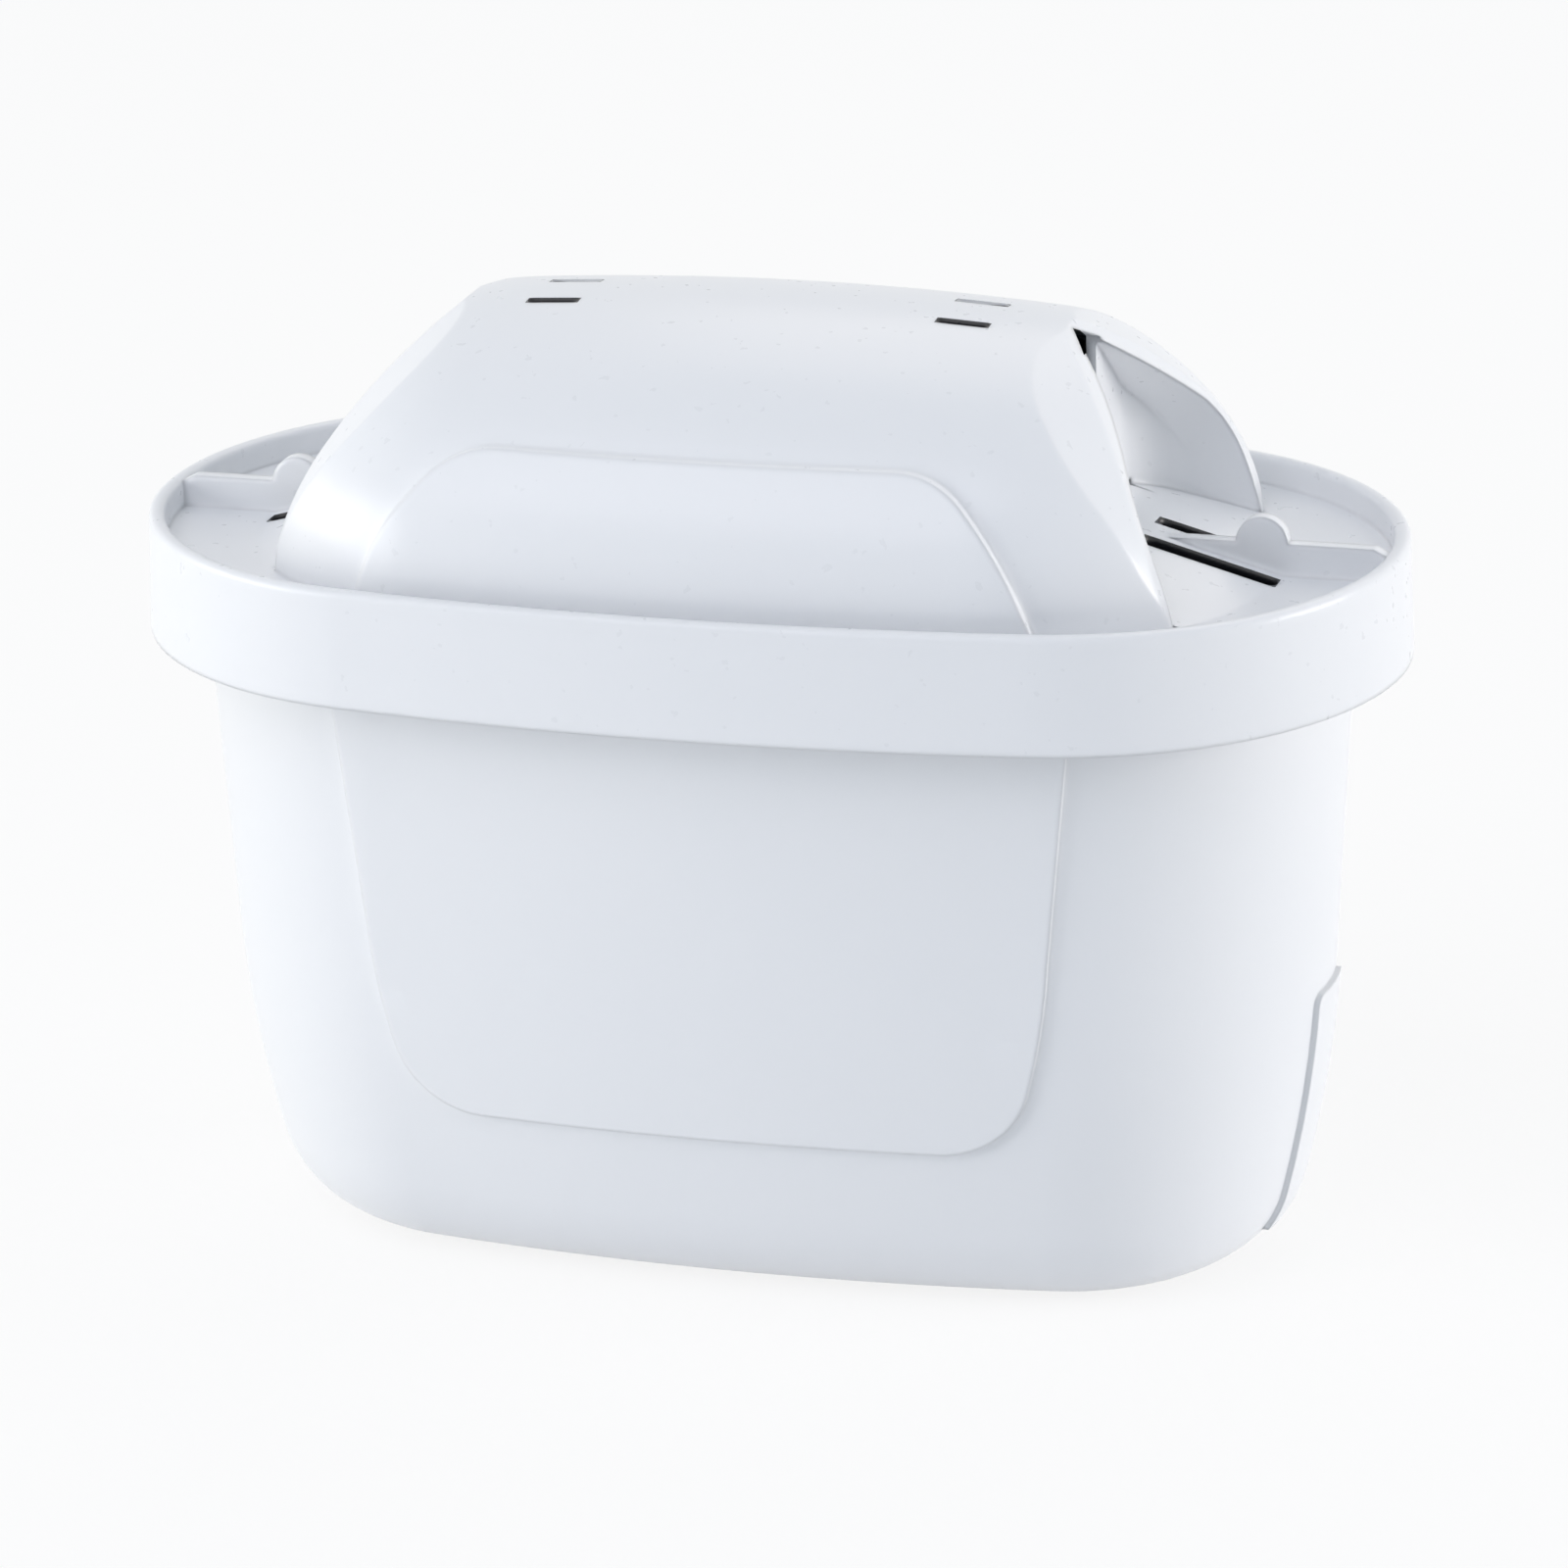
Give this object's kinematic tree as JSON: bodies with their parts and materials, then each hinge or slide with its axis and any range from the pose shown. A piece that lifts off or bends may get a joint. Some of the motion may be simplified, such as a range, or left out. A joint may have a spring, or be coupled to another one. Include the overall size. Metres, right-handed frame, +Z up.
{
  "type": "water filter cartridge",
  "caption": "Oval jug filter cartridge: tapered cup under a rimmed cap with a domed hood, finger recesses at both ends and water slots.",
  "frame": {"origin": "middle of the flat bottom of the cup", "axes": "+Z up through the hood, +X along the oval's length, Y across it"},
  "size_m": [0.1086, 0.0616, 0.0823],
  "materials": {
    "cap_plastic": "white moulded plastic, soft gloss",
    "cup_plastic": "white moulded plastic, soft gloss",
    "screen_plastic": "pale moulded plastic",
    "granules": "dark granules",
    "felt": "pale non-woven felt"
  },
  "bodies": {
    "root": {"cap": "cap_plastic", "cup": "cup_plastic", "inlet_screen": "screen_plastic", "filter_bed": "granules", "outlet_pad": "felt"}
  },
  "joints": []
}
